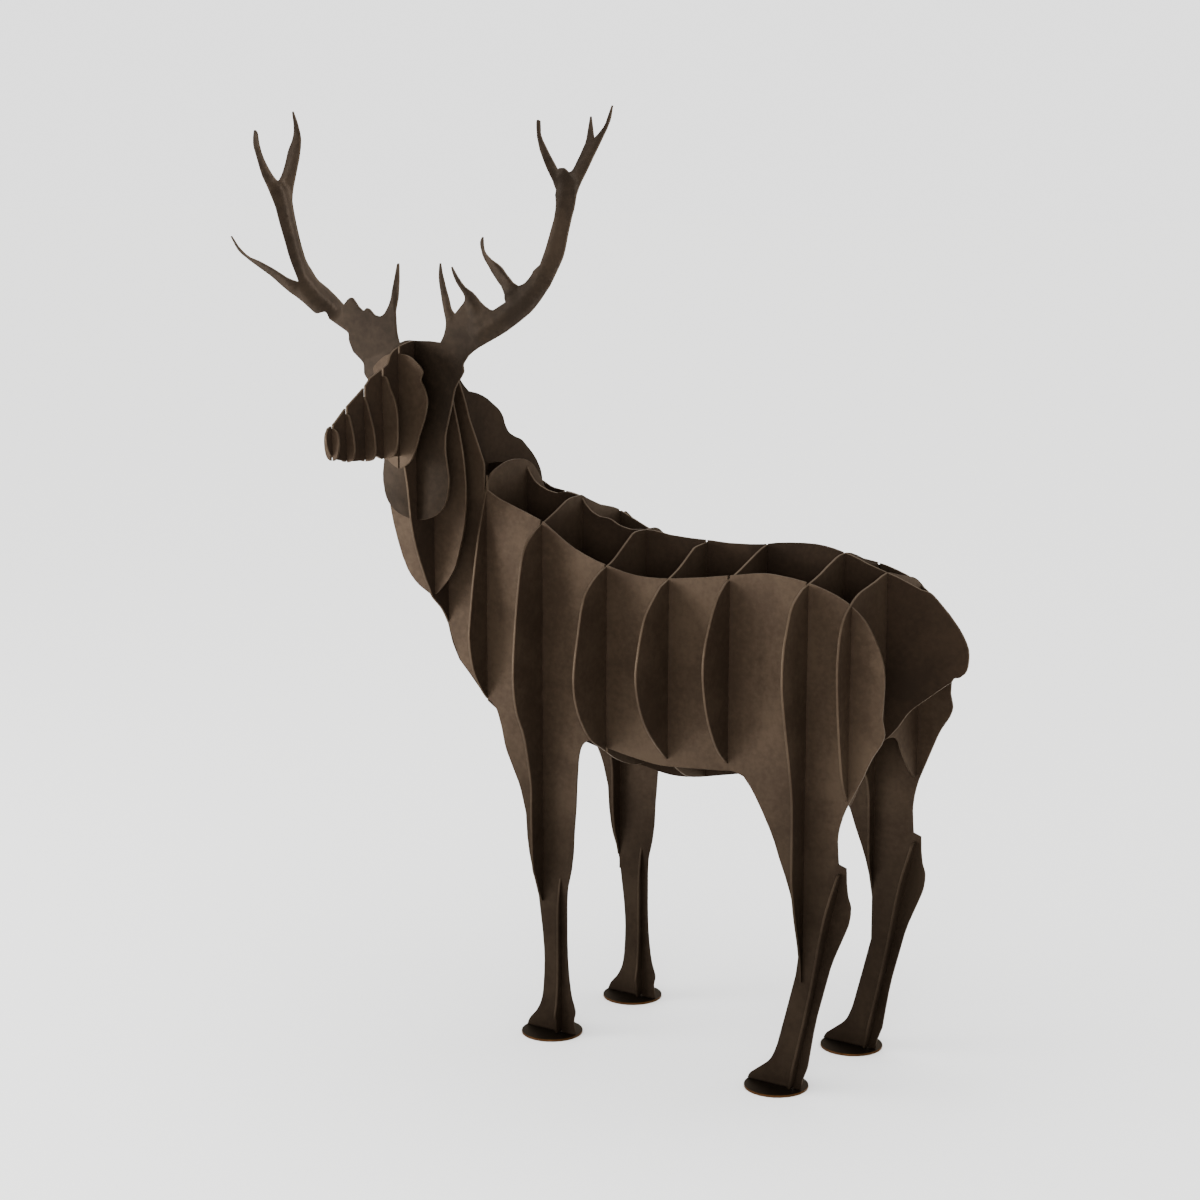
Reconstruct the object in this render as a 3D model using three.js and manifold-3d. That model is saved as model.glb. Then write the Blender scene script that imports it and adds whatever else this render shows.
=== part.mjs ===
// A life-size standing stag made of flat steel plates that lap into one another with slots.
// Millimetres. +X is the way the body faces, +Y the animal's left, +Z up, the floor is z = 0.
// The head is turned to the animal's left, so its own profile stands across the body.
import * as THREE from 'three';
import { mergeVertices } from 'three/addons/utils/BufferGeometryUtils.js';
import Module from 'manifold-3d';

// Driving dimensions.
const TOTAL_HEIGHT = 2020;
const PLATE_THICKNESS = 5;
const SLOT_CLEARANCE = 0.3;
const FOOT_RADIUS = 68;
const FOOT_THICKNESS = 5;
const FOOT_SIDES = 28;

// The stag is drawn on squared paper, with this many squares over its height. Outlines,
// stations and lap heights are counted in squares, so the figure keeps its proportions.
const SQUARES_IN_HEIGHT = 2020.2;
const SQUARE = TOTAL_HEIGHT / SQUARES_IN_HEIGHT;
const SOLE = (FOOT_THICKNESS + SLOT_CLEARANCE) / SQUARE;

// Curves are sampled finely, then points that lie this near a straight line are dropped.
const CURVE_STEPS = 4;
const CURVE_TOLERANCE = 0.35;

function station([place, lap]) {
  return { place: place * SQUARE, lap: lap * SQUARE };
}

// The side plates stand this far out from the centre plate.
const SIDE = 150 * SQUARE;

// Crosswise plates: their place along the body, and the height at which each of them laps
// with the lengthwise plates it crosses.
const HEAD_PROFILE = station([305, 1060]);
const RIBS = {
  rib_1: station([199, 950]),
  rib_2: station([49, 880]),
  rib_3: station([-119, 880]),
  rib_4: station([-276, 880]),
  rib_5: station([-425, 880]),
  rib_6: station([-610, 890]),
  rib_7: station([-709, 900]),
};

// Cross plates of the head and neck: their place out to the left, and their lap heights.
const HEAD_SECTIONS = {
  head_section_1: station([535, 1338]),
  head_section_2: station([490, 1342]),
  head_section_3: station([430, 1356]),
  head_section_4: station([370, 1385]),
  head_section_5: station([315, 1385]),
  antler_plate: station([260, 1330]),
  neck_section: station([200, 1200]),
};

// Cross plates of the lower legs. The rear ones lean back from the foot to the hock.
const FRONT_SHIN = station([-6, 170]);
const REAR_SHIN = station([-598, 240]);
const REAR_SHIN_LEAN = Math.atan2(105, 478);

// The antlers are drawn with a fine line, and this margin is added all round.
const ANTLER_MARGIN = 1;

const FRONT_FOOT_PLACE = 19 * SQUARE;
const REAR_FOOT_PLACE = -559 * SQUARE;

// The left legs stand this far in front of the drawing and the right legs as far behind it.
// The step grows from nothing at the belly to its full length a little lower down.
const LEG_STEP = 7;
const STEP_BEGINS = 700;
const STEP_IS_FULL = 580;

const steel = new THREE.MeshStandardMaterial({ color: 0x4a4038, roughness: 0.45, metalness: 0.9 });
steel.name = 'patinated_steel';

const wasm = await Module();
wasm.setup();

// An outline is a start point and runs of further points, in squares. A run of one point is
// a straight line, a longer one is a smooth curve, and the last run ends at the start.
function outline(start, runs) {
  const shape = new THREE.Shape();
  shape.moveTo(start[0] * SQUARE, start[1] * SQUARE);
  for (const run of runs) {
    const points = run.map(([h, v]) => new THREE.Vector2(h * SQUARE, v * SQUARE));
    if (points.length === 1) {
      shape.lineTo(points[0].x, points[0].y);
    } else {
      shape.splineThru(points);
    }
  }
  return shape;
}

// Half outlines run from the top to the bottom on one side of an upright axis.
function mirroredRuns(halfRuns) {
  const flat = halfRuns.flat();
  const start = flat[0];
  const down = halfRuns.map((run, index) => (index === 0 ? run.slice(1) : run));
  const ends = [start];
  for (const run of down) {
    ends.push(run[run.length - 1]);
  }
  const up = down.map((run, index) => {
    const back = run.slice(0, -1).reverse();
    back.push(ends[index]);
    return back.map(([h, v]) => [-h, v]);
  });
  return { start, runs: [...down, ...up.reverse()] };
}

function mirroredOutline(halfRuns) {
  const { start, runs } = mirroredRuns(halfRuns);
  return outline(start, runs);
}

// The same outline, moved outward all round.
function grown(shape, margin) {
  const points = shape.getPoints(CURVE_STEPS).map((point) => [point.x, point.y]);
  const section = new wasm.CrossSection([points], 'NonZero').offset(margin * SQUARE, 'Miter');
  const [edge] = section.toPolygons();
  return new THREE.Shape(edge.map(([h, v]) => new THREE.Vector2(h, v)));
}

function distanceToLine(point, from, to) {
  const along = to.clone().sub(from);
  const across = point.clone().sub(from);
  return Math.abs(along.x * across.y - along.y * across.x) / along.length();
}

function thinned(points) {
  const kept = [points[0]];
  let skipped = [];
  for (let index = 1; index < points.length - 1; index += 1) {
    const next = points[index + 1];
    const last = kept[kept.length - 1];
    skipped.push(points[index]);
    if (skipped.some((point) => distanceToLine(point, last, next) > CURVE_TOLERANCE)) {
      kept.push(points[index]);
      skipped = [];
    }
  }
  return kept;
}

function plateGeometry(shape) {
  const sampled = shape.getPoints(CURVE_STEPS);
  const geometry = new THREE.ExtrudeGeometry(new THREE.Shape(thinned(sampled)), {
    depth: PLATE_THICKNESS,
    bevelEnabled: false,
  });
  geometry.translate(0, 0, -PLATE_THICKNESS / 2);
  return geometry;
}

// A lengthwise plate's outline is drawn in x and z.
function lengthwisePlate(shape, y) {
  const geometry = plateGeometry(shape);
  geometry.rotateX(Math.PI / 2);
  geometry.translate(0, y, 0);
  return geometry;
}

// A crosswise plate's outline is drawn in y and z.
function crosswisePlate(shape, x) {
  const geometry = plateGeometry(shape);
  const turn = new THREE.Matrix4().makeBasis(
    new THREE.Vector3(0, 1, 0),
    new THREE.Vector3(0, 0, 1),
    new THREE.Vector3(1, 0, 0),
  );
  geometry.applyMatrix4(turn);
  geometry.translate(x, 0, 0);
  return geometry;
}

// The square column that frees one crossing of two plates between two heights.
function slotColumn(x, y, low, high) {
  const width = PLATE_THICKNESS + 2 * SLOT_CLEARANCE;
  const column = new THREE.BoxGeometry(width, width, high - low);
  column.translate(x, y, (low + high) / 2);
  return column;
}

const FAR_BELOW = -TOTAL_HEIGHT;
const FAR_ABOVE = 2 * TOTAL_HEIGHT;

function slotFromBelow(x, y, lap) {
  return slotColumn(x, y, FAR_BELOW, lap + SLOT_CLEARANCE / 2);
}

function slotFromAbove(x, y, lap) {
  return slotColumn(x, y, lap - SLOT_CLEARANCE / 2, FAR_ABOVE);
}

function toManifold(geometry) {
  const bare = geometry.clone();
  bare.deleteAttribute('normal');
  bare.deleteAttribute('uv');
  const merged = mergeVertices(bare, 1e-3);
  return new wasm.Manifold(new wasm.Mesh({
    numProp: 3,
    vertProperties: new Float32Array(merged.attributes.position.array),
    triVerts: new Uint32Array(merged.index.array),
  }));
}

function fromManifold(solid) {
  const mesh = solid.getMesh();
  const geometry = new THREE.BufferGeometry();
  geometry.setAttribute('position', new THREE.BufferAttribute(mesh.vertProperties, 3));
  geometry.setIndex(new THREE.BufferAttribute(mesh.triVerts, 1));
  const flat = geometry.toNonIndexed();
  flat.computeVertexNormals();
  return flat;
}

function cutSlots(geometry, slots) {
  let solid = toManifold(geometry);
  for (const slot of slots) {
    solid = solid.subtract(toManifold(slot));
  }
  return fromManifold(solid);
}

const elk = new THREE.Group();
elk.name = 'steel_elk_sculpture';

function addPiece(name, geometry) {
  const mesh = new THREE.Mesh(geometry, steel);
  mesh.name = name;
  elk.add(mesh);
}

// Lengthwise plates. The two side plates share their outline from the withers back and
// down both legs, and differ in front, where the neck turns to the left.
const flankRuns = [
  [
    [45, 1146], [-26, 1101], [-78, 1079], [-119, 1067], [-180, 1054], [-231, 1051],
    [-281, 1054], [-354, 1063], [-425, 1074], [-498, 1086], [-545, 1086], [-608, 1078],
    [-660, 1064], [-703, 1045], [-742, 1014], [-766, 977], [-783, 939], [-789, 900],
    [-787, 855], [-785, 818],
  ],
  [[-791, 788], [-784, 766]],
  [[-762, 732], [-742, 687], [-722, 645], [-706, 608], [-696, 560], [-699, 505]],
  [[-717, 499]],
  [
    [-718, 470], [-722, 440], [-729, 416], [-724, 380], [-706, 337], [-686, 287], [-668, 222],
    [-652, 160], [-642, 105], [-634, 56],
  ],
  [[-623, 28], [-618, SOLE]],
  [[-490, SOLE]],
  [[-497, 18], [-516, 33], [-544, 57], [-560, 90], [-574, 140], [-588, 195], [-603, 252]],
  [
    [-609, 305], [-602, 355], [-594, 400], [-580, 446], [-562, 490], [-545, 536],
    [-517, 590], [-489, 632], [-468, 656],
  ],
  [[-440, 664], [-412, 661], [-335, 655], [-259, 651], [-180, 660], [-119, 671], [-90, 678]],
  [[-73, 678], [-57, 662], [-51, 630], [-50, 575], [-48, 528], [-43, 474], [-40, 419]],
  [
    [-34, 377], [-24, 333], [-22, 270], [-23, 190], [-27, 135], [-34, 90], [-44, 58],
    [-40, 35], [-44, SOLE],
  ],
  [[86, SOLE]],
  [
    [78, 22], [57, 47], [43, 85], [38, 160], [41, 217], [48, 272], [57, 334],
    [74, 385], [83, 435], [87, 493],
  ],
  [[102, 548], [118, 583], [144, 632], [160, 684], [176, 722], [198, 740]],
  [[217, 762], [245, 790], [272, 818], [292, 862], [303, 902], [325, 938]],
];

function stepped(runs, step) {
  return runs.map((run) => run.map(([x, z]) => {
    const share = (STEP_BEGINS - z) / (STEP_BEGINS - STEP_IS_FULL);
    return [x + step * Math.min(1, Math.max(0, share)), z];
  }));
}

const leftFlank = stepped(flankRuns, LEG_STEP);
const rightFlank = stepped(flankRuns, -LEG_STEP);

const leftShape = outline([305, 1446], [
  [[285, 1444], [268, 1433]],
  [[254, 1396], [241, 1353], [227, 1321], [214, 1289], [203, 1262], [196, 1236], [193, 1203]],
  [[161, 1186], [107, 1168], [45, 1146]],
  ...leftFlank.map((run, index) => (index === 0 ? run.slice(1) : run)),
  [[358, 965], [385, 1010], [402, 1075], [410, 1150], [400, 1225], [382, 1300], [362, 1370], [342, 1433]],
  [[325, 1444], [305, 1446]],
]);

const rightShape = outline([305, 1196], [
  [[270, 1190], [237, 1174], [198, 1168], [164, 1162], [103, 1144]],
  [[75, 1142], [58, 1139], [42, 1133], [9, 1118], [-23, 1104]],
  ...rightFlank.map((run, index) => (index === 0 ? [[-50, 1093], ...run.slice(2)] : run)),
  [[350, 985], [366, 1040], [366, 1100], [350, 1155]],
  [[330, 1184], [305, 1196]],
]);

const centreShape = outline([330, 1226], [
  [[300, 1240], [262, 1246], [225, 1250], [199, 1248]],
  [[192, 1231], [172, 1206], [141, 1191], [114, 1186]],
  [[98, 1190], [78, 1190], [49, 1184]],
  [[38, 1168], [20, 1152], [0, 1143]],
  [
    [-28, 1140], [-53, 1128], [-84, 1122], [-119, 1125], [-148, 1124], [-179, 1119],
    [-210, 1117], [-240, 1116], [-276, 1116], [-334, 1114], [-408, 1118], [-456, 1126], [-528, 1131],
    [-576, 1127], [-630, 1114], [-670, 1099], [-711, 1087], [-739, 1078],
  ],
  [[-785, 1060], [-810, 1054], [-835, 1032], [-854, 1013], [-878, 984], [-895, 953], [-898, 930]],
  [[-896, 912], [-890, 898], [-878, 888]],
  [[-866, 885], [-860, 876]],
  [[-848, 868], [-813, 841], [-768, 804], [-742, 768], [-719, 743]],
  [[-690, 722], [-640, 700], [-570, 672], [-480, 640], [-420, 624], [-365, 616]],
  [[-319, 606], [-263, 594], [-209, 588], [-161, 591], [-80, 606], [20, 628], [110, 645]],
  [[200, 664], [260, 676], [289, 684]],
  [[312, 695], [334, 718], [362, 748], [392, 778]],
  [[412, 818], [426, 864], [448, 898], [474, 924]],
  [[470, 985], [452, 1050], [422, 1115], [380, 1175], [330, 1226]],
]);

// Crosswise plates of the body. Each outline is drawn for the left half and mirrored,
// except the first, whose hump follows the turned neck.
const ribHalves = {
  rib_2: [
    [[0, 1187], [32, 1186], [52, 1183], [74, 1174], [94, 1164], [145, 1143], [174, 1130]],
    [
      [205, 1106], [224, 1072], [238, 1009], [252, 910], [258, 816], [247, 746], [220, 686],
      [203, 618], [194, 562], [194, 493], [190, 392], [179, 356], [168, 324], [158, 300],
    ],
    [[150, 300]],
    [[150, 332]],
    [
      [146, 336], [140, 359], [130, 390], [124, 425], [121, 470], [121, 510], [118, 555],
      [106, 592], [80, 618], [40, 634], [0, 638],
    ],
  ],
  rib_3: [
    [[0, 1124], [28, 1125], [50, 1121], [86, 1098], [128, 1072], [173, 1056]],
    [
      [206, 1036], [235, 1004], [256, 930], [272, 839], [258, 770], [214, 703], [165, 670],
      [110, 636], [50, 612], [0, 606],
    ],
  ],
  rib_4: [
    [[0, 1111], [46, 1106], [66, 1095], [116, 1066], [181, 1040]],
    [
      [218, 1008], [243, 976], [264, 915], [273, 859], [260, 800], [232, 748], [182, 692],
      [130, 650], [70, 612], [0, 598],
    ],
  ],
  rib_5: [
    [[0, 1119], [28, 1112], [68, 1096], [108, 1080], [166, 1060]],
    [
      [197, 1032], [222, 990], [246, 926], [249, 866], [232, 790], [194, 718], [145, 672],
      [100, 644], [50, 626], [0, 620],
    ],
  ],
  rib_6: [
    [[0, 1118], [27, 1115], [68, 1101], [109, 1085], [173, 1067]],
    [
      [212, 1038], [232, 992], [245, 945], [248, 874], [232, 785], [214, 704], [202, 628],
      [200, 536], [200, 470], [194, 427], [185, 382], [176, 350], [165, 307], [159, 268], [157, 240],
    ],
    [[150, 240]],
    [[150, 362]],
    [
      [146, 368], [141, 389], [132, 419], [128, 470], [127, 530], [122, 590], [102, 632],
      [60, 654], [0, 662],
    ],
  ],
  rib_7: [
    [[0, 1087], [22, 1083], [52, 1075], [113, 1062], [140, 1050]],
    [
      [172, 1026], [190, 996], [199, 957], [202, 900], [196, 820], [184, 735], [172, 680],
      [152, 638], [138, 629],
    ],
    [[122, 642], [103, 664], [84, 690], [62, 724], [34, 736], [0, 738]],
  ],
};

// The second rib's top slopes more on the right, behind the turned neck.
const secondRib = mirroredRuns(ribHalves.rib_2);
secondRib.runs.pop();
secondRib.runs.push([
  [-160, 1128], [-136, 1140], [-113, 1146], [-89, 1152], [-65, 1159], [-42, 1168], [-19, 1178],
  [0, 1187],
]);

const shoulderShape = outline([43, 1260], [
  [
    [8, 1256], [-18, 1244], [-38, 1226], [-56, 1204], [-72, 1180], [-104, 1156],
    [-148, 1132], [-172, 1100],
  ],
  [[-195, 1010], [-211, 930], [-216, 880], [-203, 815], [-176, 766], [-145, 730]],
  [[-100, 696], [-50, 664], [0, 650], [50, 664], [100, 696], [145, 730]],
  [[176, 766], [203, 815], [216, 880], [211, 930], [199, 1010], [178, 1110], [158, 1179]],
  [[146, 1216], [132, 1237], [98, 1252], [70, 1259], [43, 1260]],
]);

// The head's profile, seen from behind the animal: nose, brow, mane, chest and throat.
const headProfileShape = outline([544, 1313], [
  [[552, 1329], [555, 1350], [549, 1367]],
  [[533, 1373], [516, 1385], [494, 1403], [455, 1427], [424, 1448], [412, 1460]],
  [[375, 1475], [352, 1487], [341, 1506], [318, 1519], [274, 1529], [232, 1527], [191, 1521]],
  [[167, 1517], [146, 1512], [124, 1500]],
  [[118, 1466], [100, 1432], [72, 1407]],
  [[48, 1402], [24, 1394], [6, 1386]],
  [[-10, 1376], [-40, 1356], [-55, 1338]],
  [[-62, 1320], [-76, 1302], [-94, 1292]],
  [[-112, 1286], [-126, 1280]],
  [[-141, 1267], [-163, 1249], [-182, 1229]],
  [[-202, 1192], [-210, 1120], [-214, 1060], [-206, 980], [-184, 900], [-148, 838]],
  [
    [-100, 796], [-50, 764], [0, 752], [50, 768], [96, 806], [130, 852], [152, 897], [175, 932],
    [208, 963], [219, 985],
  ],
  [[234, 1012], [262, 1076], [280, 1140], [291, 1221], [306, 1286]],
  [[340, 1288], [377, 1287]],
  [[396, 1295], [414, 1295], [434, 1290], [472, 1291], [516, 1298], [532, 1304], [544, 1313]],
]);

// Cross plates of the head, drawn as half outlines out from the head's plane.
const sectionHalves = {
  head_section_1: [
    [[0, 1366], [9, 1364], [17, 1356], [20, 1342], [19, 1322], [14, 1306], [6, 1299], [0, 1298]],
  ],
  head_section_2: [
    [[0, 1392], [9, 1389], [16, 1370], [22, 1342], [24, 1316], [20, 1299], [10, 1292], [0, 1291]],
  ],
  head_section_3: [
    [[0, 1423], [9, 1410], [16, 1386], [24, 1362], [29, 1334], [30, 1306], [22, 1291], [0, 1286]],
  ],
  head_section_4: [
    [
      [0, 1462], [13, 1459], [24, 1434], [35, 1412], [41, 1386], [42, 1356], [40, 1318],
      [30, 1294], [0, 1284],
    ],
  ],
  head_section_5: [
    [
      [0, 1506], [22, 1504], [41, 1496], [67, 1473], [62, 1453], [72, 1434], [79, 1408],
      [71, 1370], [57, 1337], [45, 1302], [28, 1274], [0, 1258],
    ],
  ],
};

// The neck section reaches further out on the throat's side than on the mane's.
const neckShape = outline([0, 1452], [
  [
    [30, 1446], [70, 1410], [96, 1350], [112, 1300], [124, 1250], [126, 1200], [123, 1167],
    [111, 1114], [94, 1062], [83, 1036], [68, 1010], [43, 986], [10, 968],
  ],
  [[-8, 972], [-38, 1002]],
  [
    [-58, 1032], [-72, 1074], [-84, 1119], [-90, 1163], [-91, 1207], [-88, 1250], [-82, 1294],
    [-73, 1336], [-62, 1379], [-52, 1418], [-30, 1444], [0, 1452],
  ],
]);

// The antlers rise from the top of the throat plate, drawn out from the head's plane. They
// are near mirror images of each other and not exact ones.
const antlerShape = outline([-6, 1529], [
  [[20, 1529], [41, 1522]],
  [[48, 1545], [50, 1580], [44, 1620], [40, 1655], [41, 1693], [53, 1644], [65, 1607], [79, 1585]],
  [[91, 1578], [108, 1580], [122, 1592]],
  [[130, 1594], [139, 1588], [153, 1596], [169, 1614], [181, 1612], [195, 1598]],
  [
    [236, 1630], [270, 1651], [289, 1674], [307, 1695], [319, 1724], [328, 1756], [336, 1791],
    [340, 1824], [334, 1858], [323, 1893], [315, 1923], [311, 1956], [319, 1988], [330, 2014],
  ],
  [[326, 1984], [331, 1956], [345, 1930], [355, 1900], [367, 1874], [384, 1865], [399, 1877]],
  [[417, 1902], [431, 1932], [437, 1968]],
  [[444, 1974], [447, 1945], [437, 1915]],
  [[423, 1877], [404, 1845], [387, 1810], [374, 1768], [360, 1729], [348, 1694], [325, 1644]],
  [[356, 1653], [394, 1671], [439, 1688], [469, 1697], [498, 1716], [521, 1741]],
  [[497, 1709], [454, 1683], [410, 1660], [357, 1628], [314, 1604], [294, 1591]],
  [[274, 1579], [250, 1583], [236, 1568]],
  [[208, 1554], [183, 1540], [180, 1522], [169, 1499]],
  [[141, 1476], [138, 1452], [122, 1434]],
  [[107, 1398], [93, 1362], [82, 1332]],
  [[81, 1299], [86, 1267], [90, 1235], [88, 1210], [81, 1185], [65, 1164], [37, 1149], [0, 1140]],
  [[-37, 1149], [-65, 1164], [-81, 1185], [-88, 1210], [-90, 1235], [-86, 1267], [-81, 1299], [-82, 1332]],
  [[-91, 1366], [-101, 1400], [-109, 1432], [-124, 1456]],
  [[-133, 1470], [-132, 1486], [-146, 1505]],
  [
    [-167, 1520], [-204, 1539], [-244, 1559], [-286, 1586], [-314, 1607], [-342, 1638], [-365, 1673],
    [-386, 1712], [-398, 1751], [-409, 1794], [-419, 1826], [-431, 1858], [-451, 1892],
    [-471, 1927], [-488, 1954], [-507, 1989], [-514, 2019],
  ],
  [[-500, 1984], [-485, 1966], [-469, 1953]],
  [[-466, 1969], [-462, 1998]],
  [[-457, 1974], [-451, 1948], [-439, 1926], [-426, 1901], [-417, 1890], [-407, 1887]],
  [[-397, 1895], [-387, 1896], [-377, 1893]],
  [[-364, 1912], [-349, 1936], [-336, 1962], [-335, 1990]],
  [[-329, 1990], [-330, 1960], [-337, 1932]],
  [
    [-351, 1903], [-366, 1876], [-378, 1850], [-382, 1826], [-378, 1797], [-368, 1767], [-355, 1731],
    [-341, 1700],
  ],
  [[-325, 1688], [-315, 1674], [-299, 1660], [-279, 1654]],
  [[-267, 1660], [-253, 1675], [-232, 1695], [-207, 1710], [-192, 1725], [-187, 1753]],
  [[-182, 1741], [-188, 1717], [-202, 1694], [-219, 1671], [-237, 1648], [-252, 1621]],
  [[-231, 1610], [-215, 1602], [-197, 1606], [-179, 1618], [-160, 1636], [-139, 1648], [-121, 1667], [-105, 1689]],
  [[-112, 1668], [-126, 1649], [-138, 1636], [-142, 1623], [-128, 1606], [-112, 1590]],
  [[-101, 1600], [-94, 1624], [-85, 1650], [-78, 1675], [-74, 1696]],
  [[-71, 1669], [-75, 1639], [-82, 1603], [-89, 1572], [-84, 1547], [-73, 1528]],
  [[-43, 1530], [-6, 1529]],
]);

const lengthwise = [
  { name: 'side_plate_left', y: SIDE, shape: leftShape },
  { name: 'side_plate_right', y: -SIDE, shape: rightShape },
  { name: 'centre_plate', y: 0, shape: centreShape },
];

const crosswise = [
  { name: 'head_profile', shape: headProfileShape, ...HEAD_PROFILE },
  { name: 'rib_1', shape: shoulderShape, ...RIBS.rib_1 },
];
for (const [name, halves] of Object.entries(ribHalves)) {
  const { start, runs } = name === 'rib_2' ? secondRib : mirroredRuns(halves);
  crosswise.push({ name, shape: outline(start, runs), ...RIBS[name] });
}

const sections = [
  { name: 'antler_plate', shape: grown(antlerShape, ANTLER_MARGIN), ...HEAD_SECTIONS.antler_plate },
  { name: 'neck_section', shape: neckShape, ...HEAD_SECTIONS.neck_section },
];
for (const [name, halves] of Object.entries(sectionHalves)) {
  sections.push({ name, shape: mirroredOutline(halves), ...HEAD_SECTIONS[name] });
}

const shinHalves = {
  front: [
    [
      [0, 372], [5, 350], [10, 320], [14, 280], [14, 160], [16, 110], [20, 74], [26, 48],
      [22, 30], [20, 8],
    ],
    [[0, 8]],
  ],
  rear: [
    [
      [0, 498], [14, 496], [20, 476], [30, 430], [33, 392], [31, 340], [25, 285], [21, 225],
      [20, 150], [21, 90], [23, 58], [20, 32], [19, 8],
    ],
    [[0, 8]],
  ],
};

function legStep(y) {
  return Math.sign(y) * LEG_STEP * SQUARE;
}

// A rear shin plate and its slots are made upright at the origin, then leaned into place.
function leanRearShin(geometry, y) {
  geometry.rotateY(-REAR_SHIN_LEAN);
  geometry.translate(REAR_SHIN.place + legStep(y), y, 0);
  return geometry;
}

for (const plate of lengthwise) {
  const slots = crosswise.map((other) => slotFromAbove(other.place, plate.y, other.lap));
  if (plate.y !== 0) {
    const step = legStep(plate.y);
    slots.push(slotFromBelow(FRONT_SHIN.place + step, plate.y, FRONT_SHIN.lap));
    slots.push(leanRearShin(slotFromBelow(0, 0, REAR_SHIN.lap), plate.y));
  }
  addPiece(plate.name, cutSlots(lengthwisePlate(plate.shape, plate.y), slots));
}

for (const plate of crosswise) {
  const slots = lengthwise.map((other) => slotFromBelow(plate.place, other.y, plate.lap));
  if (plate.name === 'head_profile') {
    slots.push(...sections.map((other) => slotFromAbove(plate.place, other.place, other.lap)));
  }
  addPiece(plate.name, cutSlots(crosswisePlate(plate.shape, plate.place), slots));
}

for (const plate of sections) {
  const geometry = lengthwisePlate(plate.shape, plate.place);
  geometry.translate(HEAD_PROFILE.place, 0, 0);
  const slot = slotFromBelow(HEAD_PROFILE.place, plate.place, plate.lap);
  addPiece(plate.name, cutSlots(geometry, [slot]));
}

// The lower legs' cross plates slide up into slots that open under the side plates' feet.
for (const [side, y] of [['left', SIDE], ['right', -SIDE]]) {
  const step = legStep(y);
  const front = crosswisePlate(mirroredOutline(shinHalves.front), FRONT_SHIN.place + step);
  front.translate(0, y, 0);
  const frontSlot = slotFromAbove(FRONT_SHIN.place + step, y, FRONT_SHIN.lap);
  addPiece(`front_shin_${side}`, cutSlots(front, [frontSlot]));

  const rear = crosswisePlate(mirroredOutline(shinHalves.rear), 0);
  const rearSlot = slotFromAbove(0, 0, REAR_SHIN.lap);
  addPiece(`rear_shin_${side}`, leanRearShin(cutSlots(rear, [rearSlot]), y));

  for (const [end, x] of [['front', FRONT_FOOT_PLACE], ['rear', REAR_FOOT_PLACE]]) {
    const foot = new THREE.CylinderGeometry(FOOT_RADIUS, FOOT_RADIUS, FOOT_THICKNESS, FOOT_SIDES);
    foot.rotateX(Math.PI / 2);
    foot.translate(x + step, y, FOOT_THICKNESS / 2);
    addPiece(`foot_${end}_${side}`, foot);
  }
}

// The model's origin is the middle of its bounding box, on the floor.
const box = new THREE.Box3().setFromObject(elk);
for (const piece of elk.children) {
  piece.geometry.translate(-(box.min.x + box.max.x) / 2, -(box.min.y + box.max.y) / 2, 0);
}

export default elk;
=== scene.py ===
import math

import bmesh
import bpy
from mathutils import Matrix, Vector


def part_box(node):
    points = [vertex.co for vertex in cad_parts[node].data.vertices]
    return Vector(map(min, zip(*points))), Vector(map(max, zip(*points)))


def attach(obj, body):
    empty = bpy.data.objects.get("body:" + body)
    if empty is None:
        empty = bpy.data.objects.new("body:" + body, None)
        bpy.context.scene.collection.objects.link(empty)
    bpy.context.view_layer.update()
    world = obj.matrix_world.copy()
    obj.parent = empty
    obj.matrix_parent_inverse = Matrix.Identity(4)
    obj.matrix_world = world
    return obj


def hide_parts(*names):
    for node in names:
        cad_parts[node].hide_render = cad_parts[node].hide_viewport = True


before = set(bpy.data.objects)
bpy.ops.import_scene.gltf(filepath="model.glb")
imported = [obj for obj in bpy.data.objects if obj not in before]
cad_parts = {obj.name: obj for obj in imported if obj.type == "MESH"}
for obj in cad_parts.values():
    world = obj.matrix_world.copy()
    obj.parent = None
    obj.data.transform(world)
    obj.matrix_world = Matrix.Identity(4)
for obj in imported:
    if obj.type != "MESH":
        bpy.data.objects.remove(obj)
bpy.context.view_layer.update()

# The camera stands behind the animal and on its left, a little above its back, and looks
# slightly down, as the photograph does. Its place is counted from the shoulder, from the
# backbone plate and from the floor, in metres.
spine_low, spine_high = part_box("centre_plate")
spine_middle = (spine_low.y + spine_high.y) / 2
shoulder_low, shoulder_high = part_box("rib_2")
shoulder_middle = (shoulder_low.x + shoulder_high.x) / 2
behind_shoulder = 3.1016
left_of_spine = 4.4294
above_floor = 1.9337
camera_yaw = 0.96737
camera_pitch = -0.17963

camera_data = bpy.data.cameras.new("camera")
camera_data.sensor_width = 36.0
camera_data.lens = 74.47
camera_data.clip_end = 200.0
camera = bpy.data.objects.new("camera", camera_data)
bpy.context.scene.collection.objects.link(camera)
bpy.context.scene.camera = camera
camera.location = (
    shoulder_middle - behind_shoulder,
    spine_middle + left_of_spine,
    above_floor,
)
look = Vector((
    math.cos(camera_yaw) * math.cos(camera_pitch),
    -math.sin(camera_yaw) * math.cos(camera_pitch),
    math.sin(camera_pitch),
))
camera.rotation_euler = look.to_track_quat("-Z", "Y").to_euler()


# The two flank plates are laser-cut from 5 mm steel, with a dark bronze-brown patina under wax,
# and carry the ribs in slots. Their faces are satin and slightly mottled. Their cut edges are
# eased and painted a little lighter: a painted highlight where the edges catch the light,
# together with patina rubbed by handling.
def linear(hex_colour):
    channels = [int(hex_colour[i:i + 2], 16) / 255 for i in (1, 3, 5)]
    curve = [c / 12.92 if c <= 0.04045 else ((c + 0.055) / 1.055) ** 2.4 for c in channels]
    return (*curve, 1.0)


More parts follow.
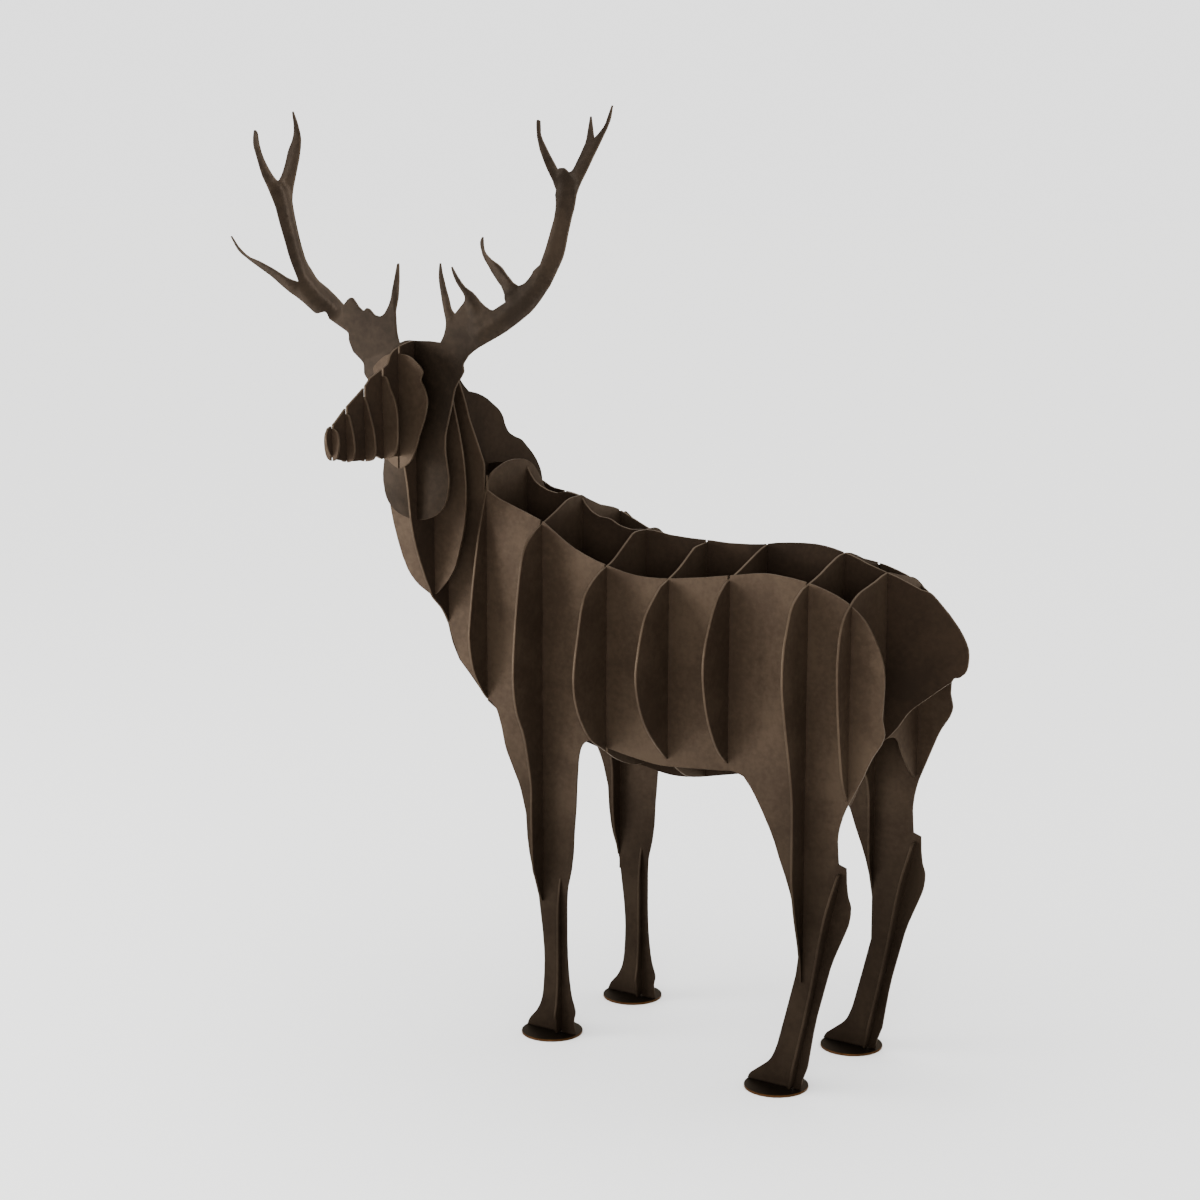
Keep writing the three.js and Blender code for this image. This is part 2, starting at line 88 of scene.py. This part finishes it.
def add_node(owner, kind, inputs=None, **settings):
    node = owner.node_tree.nodes.new(kind)
    for key, value in settings.items():
        setattr(node, key, value)
    for socket, value in (inputs or {}).items():
        if isinstance(value, bpy.types.NodeSocket):
            owner.node_tree.links.new(value, node.inputs[socket])
        else:
            node.inputs[socket].default_value = value
    return node


def waxed_steel(name, dark, light, rough_low, rough_high):
    material = bpy.data.materials.new(name)
    material.use_nodes = True
    surface = material.node_tree.nodes["Principled BSDF"]
    links = material.node_tree.links
    place = add_node(material, "ShaderNodeTexCoord").outputs["Object"]
    # Painted shade: the colour is darkened towards the floor, so the lower legs are darker,
    # with a smooth change from full colour 850 mm above the floor down to 0.4 of it at 300 mm
    # and below.
    height = add_node(material, "ShaderNodeSeparateXYZ", {"Vector": place}).outputs["Z"]
    painted_floor_shade = add_node(material, "ShaderNodeMapRange", {
        "Value": height, "From Min": 0.3, "From Max": 0.85, "To Min": 0.4, "To Max": 1.0,
    }, interpolation_type="SMOOTHSTEP").outputs["Result"]
    # Broad clouds of patina, about 150 mm across.
    clouds = add_node(material, "ShaderNodeTexNoise", {
        "Vector": place, "Scale": 6.5, "Detail": 3.0, "Roughness": 0.55,
    })
    # Fine mottling of the oxide under the wax, about 12 mm across.
    mottle = add_node(material, "ShaderNodeTexNoise", {
        "Vector": place, "Scale": 80.0, "Detail": 4.0, "Roughness": 0.6,
    })
    # Two thirds of the tone comes from the clouds and one third from the mottling.
    cloud_share = add_node(material, "ShaderNodeMath", {
        0: clouds.outputs["Fac"], 1: 0.65,
    }, operation="MULTIPLY")
    both = add_node(material, "ShaderNodeMath", {
        0: mottle.outputs["Fac"], 1: 0.35, 2: cloud_share.outputs["Value"],
    }, operation="MULTIPLY_ADD").outputs["Value"]
    tone = add_node(material, "ShaderNodeMapRange", {
        "Value": both, "From Min": 0.36, "From Max": 0.64,
    }, interpolation_type="SMOOTHSTEP")
    # Counted from 0, inputs 6 and 7 of a Mix node and its output 2 are its colours.
    colour = add_node(material, "ShaderNodeMix", {
        0: tone.outputs["Result"], 6: linear(dark), 7: linear(light),
    }, data_type="RGBA").outputs[2]
    # The painted shade darkens the colour towards the floor.
    shade_darkened_colour = add_node(material, "ShaderNodeVectorMath", {
        "Vector": colour, "Scale": painted_floor_shade,
    }, operation="SCALE")
    links.new(shade_darkened_colour.outputs["Vector"], surface.inputs["Base Color"])
    rough = add_node(material, "ShaderNodeMapRange", {
        "Value": both, "From Min": 0.3, "From Max": 0.7,
        "To Min": rough_high, "To Max": rough_low,
    })
    links.new(rough.outputs["Result"], surface.inputs["Roughness"])
    # Wax dulls the shine of the oxide, and the painted shade dims the shine further towards the
    # floor.
    gloss = add_node(material, "ShaderNodeMath", {0: painted_floor_shade, 1: 0.2}, operation="MULTIPLY")
    links.new(gloss.outputs["Value"], surface.inputs["Specular IOR Level"])
    surface.inputs["Specular Tint"].default_value = linear("#e0cdb8")
    surface.inputs["Metallic"].default_value = 0.5
    bump = add_node(material, "ShaderNodeBump", {
        "Height": mottle.outputs["Fac"], "Strength": 0.12, "Distance": 0.0004,
    })
    links.new(bump.outputs["Normal"], surface.inputs["Normal"])
    return material


# The plates are a dull brown. Their edges are painted a little lighter and are smoother: a
# painted highlight together with rubbed wear.
patinated_plate = waxed_steel("waxed_patinated_plate", "#2c221a", "#392e24", 0.50, 0.60)
# The edge finish is lighter as a painted highlight on the cut edges, along with some wear.
edge_wear_and_painted_highlight = waxed_steel("cut_edge_wear_and_painted_highlight", "#31271e", "#3e3328", 0.42, 0.52)

# The cut edges are eased by half a millimetre. Points closer than the weld are one point,
# and faces within the flat angle lie in one plane.
edge_ease = 0.0005
weld = 0.00002
flat_angle = math.radians(0.3)
corner_angle = math.radians(50)


def finished_plate(node, finish=patinated_plate, rim=edge_wear_and_painted_highlight):
    name = node + "_finished"
    mesh = bpy.data.meshes.new(name)
    form = bmesh.new()
    form.from_mesh(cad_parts[node].data)
    bmesh.ops.remove_doubles(form, verts=form.verts, dist=weld)
    bmesh.ops.dissolve_limit(
        form, angle_limit=flat_angle, verts=form.verts, edges=form.edges,
    )
    face_normal = max(form.faces, key=lambda face: face.calc_area()).normal.copy()
    corners = [
        edge for edge in form.edges
        if len(edge.link_faces) == 2 and edge.calc_face_angle() > corner_angle
    ]
    bmesh.ops.bevel(
        form, geom=corners, offset=edge_ease, offset_type="OFFSET", segments=2,
        profile=0.5, affect="EDGES", material=-1, clamp_overlap=True,
    )
    for face in form.faces:
        on_edge = abs(face.normal.dot(face_normal)) < 0.98
        face.smooth = on_edge
        face.material_index = 1 if on_edge else 0
    form.to_mesh(mesh)
    form.free()
    mesh.materials.append(finish)
    mesh.materials.append(rim)
    piece = bpy.data.objects.new(name, mesh)
    bpy.context.scene.collection.objects.link(piece)
    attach(piece, "root")
    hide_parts(node)
    return piece


for node in ("side_plate_left", "side_plate_right"):
    finished_plate(node)

# The centre plate forms the back, the withers and the tail. It is cut from the same steel and
# slotted into the ribs. Its colour is painted darker than the flanks' as painted shade, since
# it lies in shade between the two flanks, and its finish is the dullest.
# This darker colour is painted shade for the plates that lie between the others.
painted_shade_plate = waxed_steel("painted_shade_dark_patina", "#1f1711", "#291f17", 0.74, 0.84)
finished_plate("centre_plate", painted_shade_plate)

# The ribs are cut from the same plate and slot over the three lengthwise plates. The
# second and the sixth run on down the legs as prongs.
for number in range(1, 8):
    finished_plate("rib_%d" % number)

# The head is a profile plate with cross plates slotted over it, from the nose back to the
# throat. The profile plate stands in the shade of the others, so it is given the centre plate's
# darker colour as painted shade.
for number in range(1, 6):
    finished_plate("head_section_%d" % number)
finished_plate("neck_section")
finished_plate("head_profile", painted_shade_plate)

# The antlers and the throat are one plate, a shade darker than the flanks. The antlers are
# pressed, so a low ridge or groove runs along the middle of each beam and tine, and some
# of them are twisted to one side.
antler_patina = waxed_steel("dark_antler_patina", "#150f0a", "#211912", 0.52, 0.62)
# Each line gives points out from the head's plane and up, in millimetres, then the half
# width at its root and at its tip, how steeply the ridge rises (a groove is negative), and
# how steeply the twist leans.
antler_lines = (
    (((225, 1590), (275, 1622), (315, 1660), (338, 1725), (355, 1780), (372, 1845)),
     26, 26, -0.45, 0.0),
    (((345, 1632), (400, 1666), (455, 1689), (500, 1714), (521, 1741)), 20, 3, 0.25, 0.40),
    (((355, 1862), (338, 1900), (326, 1935), (320, 1965), (330, 2012)), 20, 3, 0.35, 0.0),
    (((385, 1855), (410, 1882), (428, 1912), (439, 1945), (440, 1972)), 20, 3, -0.30, -0.15),
    (((50, 1590), (50, 1640), (42, 1690)), 14, 3, 0.20, -0.30),
    (((-180, 1560), (-235, 1590), (-290, 1625), (-335, 1670), (-368, 1725), (-385, 1775),
      (-397, 1825), (-405, 1865)), 30, 24, 0.30, -0.30),
    (((-425, 1880), (-460, 1925), (-490, 1965), (-512, 2012)), 20, 3, 0.25, -0.20),
    (((-378, 1880), (-355, 1915), (-340, 1950), (-332, 1988)), 17, 3, -0.20, -0.25),
    (((-262, 1635), (-240, 1668), (-210, 1700), (-190, 1728), (-186, 1750)), 22, 3, 0.20, 0.45),
    (((-165, 1600), (-148, 1630), (-125, 1657), (-107, 1685)), 18, 3, 0.30, -0.15),
    (((-100, 1580), (-92, 1605), (-82, 1645), (-75, 1692)), 12, 3, 0.20, -0.25),
)
# A twist begins 4 mm inside the outline and reaches its full lean a quarter of the way up.
twist_margin = 4
twist_start = 1 / 4
head_low, head_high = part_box("head_profile")
head_plane = (head_low.x + head_high.x) / 2


def pressed_depth(place):
    spot = Vector((1000 * (place.x - head_plane), 1000 * place.z))
    depth = 0.0
    for points, root, tip, ridge, twist in antler_lines:
        nearest = None
        for index in range(len(points) - 1):
            start, end = Vector(points[index]), Vector(points[index + 1])
            share = (spot - start).dot(end - start) / (end - start).length_squared
            share = min(1.0, max(0.0, share))
            away = spot - start.lerp(end, share)
            if nearest is None or away.length < nearest[0]:
                nearest = (away.length, (index + share) / (len(points) - 1), away.x)
        gap, along, sideways = nearest
        half_width = root + (tip - root) * along
        inside = max(0.0, half_width - gap)
        depth += ridge * inside
        depth -= twist * sideways * min(1.0, inside / twist_margin, along / twist_start)
    return depth / 1000


# The plate's flat faces are cut into an 8 mm grid from the antlers' tips down to the
# skull, so that they can follow the pressed depth. Folds over 24 degrees stay crisp.
cut_spacing = 0.008
cut_rows = 61
antler_reach = 0.52
crisp_fold = math.radians(24)
antlers = finished_plate("antler_plate", antler_patina)
antler_form = bmesh.new()
antler_form.from_mesh(antlers.data)
bmesh.ops.triangulate(antler_form, faces=antler_form.faces)
antler_low, antler_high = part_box("antler_plate")
cut_columns = int((antler_high.x - antler_low.x) / cut_spacing)
cuts = [(Vector((antler_low.x + cut_spacing * step, 0.0, 0.0)), Vector((1.0, 0.0, 0.0)))
        for step in range(1, cut_columns)]
cuts += [(Vector((0.0, 0.0, antler_high.z - cut_spacing * step)), Vector((0.0, 0.0, 1.0)))
         for step in range(1, cut_rows + 1)]
for place, direction in cuts:
    upper = [face for face in antler_form.faces
             if face.calc_center_median().z > antler_high.z - antler_reach or direction.z]
    upper_edges = {edge for face in upper for edge in face.edges}
    upper_verts = {vert for face in upper for vert in face.verts}
    bmesh.ops.bisect_plane(
        antler_form, geom=[*upper_verts, *upper_edges, *upper], dist=0.00001,
        plane_co=place, plane_no=direction,
    )
for vert in antler_form.verts:
    vert.co.y += pressed_depth(vert.co)
for face in antler_form.faces:
    face.smooth = True
antler_form.to_mesh(antlers.data)
antler_form.free()
antlers.data.set_sharp_from_angle(angle=crisp_fold)

# The lower legs are stiffened by narrow cross plates of the same steel, upright in front
# and inclined behind, each slotted through its leg.
for side in ("left", "right"):
    for node in ("front_shin_", "rear_shin_"):
        finished_plate(node + side)

# Each hoof stands on a round foot plate of the same thickness. It is darker on top, and its rim
# is painted a warm bronze as a painted glint of light along it.
ground_plate = waxed_steel("foot_plate_patina", "#15100b", "#1f1811", 0.50, 0.62)
# The warm bronze rim is a painted highlight, the glint along the foot plate's edge.
painted_glint_rim = waxed_steel("painted_warm_glint_rim", "#4a2f17", "#6b4826", 0.30, 0.42)
for side in ("left", "right"):
    for node in ("foot_front_", "foot_rear_"):
        finished_plate(node + side, ground_plate, painted_glint_rim)

# The studio: a plain matt floor, almost white, and so wide that its far edge is seen
# close to the horizon.
floor_half_size = 60.0
floor_material = bpy.data.materials.new("pale_floor")
floor_material.use_nodes = True
floor_surface = floor_material.node_tree.nodes["Principled BSDF"]
floor_surface.inputs["Base Color"].default_value = linear("#fbfbfa")
floor_surface.inputs["Roughness"].default_value = 0.9
floor_mesh = bpy.data.meshes.new("floor")
floor_form = bmesh.new()
bmesh.ops.create_grid(floor_form, x_segments=1, y_segments=1, size=floor_half_size)
floor_form.to_mesh(floor_mesh)
floor_form.free()
floor_mesh.materials.append(floor_material)
floor = bpy.data.objects.new("floor", floor_mesh)
bpy.context.scene.collection.objects.link(floor)

# The room is brightest overhead. The strip of it that the photograph's camera sees behind
# the floor has about the floor's own brightness, so the two run into one another there.
low_strength = 0.8
overhead_strength = 3.2
strip_strength = 2.2
world = bpy.data.worlds.new("studio")
world.use_nodes = True
room = world.node_tree.nodes["Background"]
direction = add_node(world, "ShaderNodeTexCoord").outputs["Generated"]
height = add_node(world, "ShaderNodeSeparateXYZ", {"Vector": direction}).outputs["Z"]
overhead = add_node(world, "ShaderNodeMapRange", {
    "Value": height, "From Min": 0.2, "From Max": 0.95,
    "To Min": low_strength, "To Max": overhead_strength,
}, interpolation_type="SMOOTHSTEP")
facing = add_node(world, "ShaderNodeVectorMath", {
    0: direction, 1: (look.x, look.y, 0.0),
}, operation="DOT_PRODUCT")
ahead = add_node(world, "ShaderNodeMapRange", {
    "Value": facing.outputs["Value"], "From Min": 0.7, "From Max": 0.85,
}, interpolation_type="SMOOTHSTEP")
low_down = add_node(world, "ShaderNodeMapRange", {
    "Value": height, "From Min": 0.08, "From Max": 0.16, "To Min": 1.0, "To Max": 0.0,
}, interpolation_type="SMOOTHSTEP")
in_view = add_node(world, "ShaderNodeMath", {
    0: ahead.outputs["Result"], 1: low_down.outputs["Result"],
}, operation="MULTIPLY")
strength = add_node(world, "ShaderNodeMapRange", {
    "Value": in_view.outputs["Value"],
    "To Min": overhead.outputs["Result"], "To Max": strip_strength,
})
world.node_tree.links.new(strength.outputs["Result"], room.inputs["Strength"])
room.inputs["Color"].default_value = linear("#ffffff")
bpy.context.scene.world = world


# Two large soft lights stand low on the animal's left and shine on the middle of its body:
# the stronger one in front of it, and the weaker one behind it, near the camera.
def soft_light(name, place, size, power):
    data = bpy.data.lights.new(name, "AREA")
    data.shape = "RECTANGLE"
    data.size, data.size_y = size
    data.energy = power
    lamp = bpy.data.objects.new(name, data)
    bpy.context.scene.collection.objects.link(lamp)
    lamp.location = place
    aim = Vector((0.0, 0.0, 0.8)) - Vector(place)
    lamp.rotation_euler = aim.to_track_quat("-Z", "Y").to_euler()


soft_light("left_softbox", (4.6, 3.8, 1.2), (3.0, 2.2), 420.0)
soft_light("camera_softbox", (-3.2, 5.6, 1.4), (3.0, 2.0), 300.0)
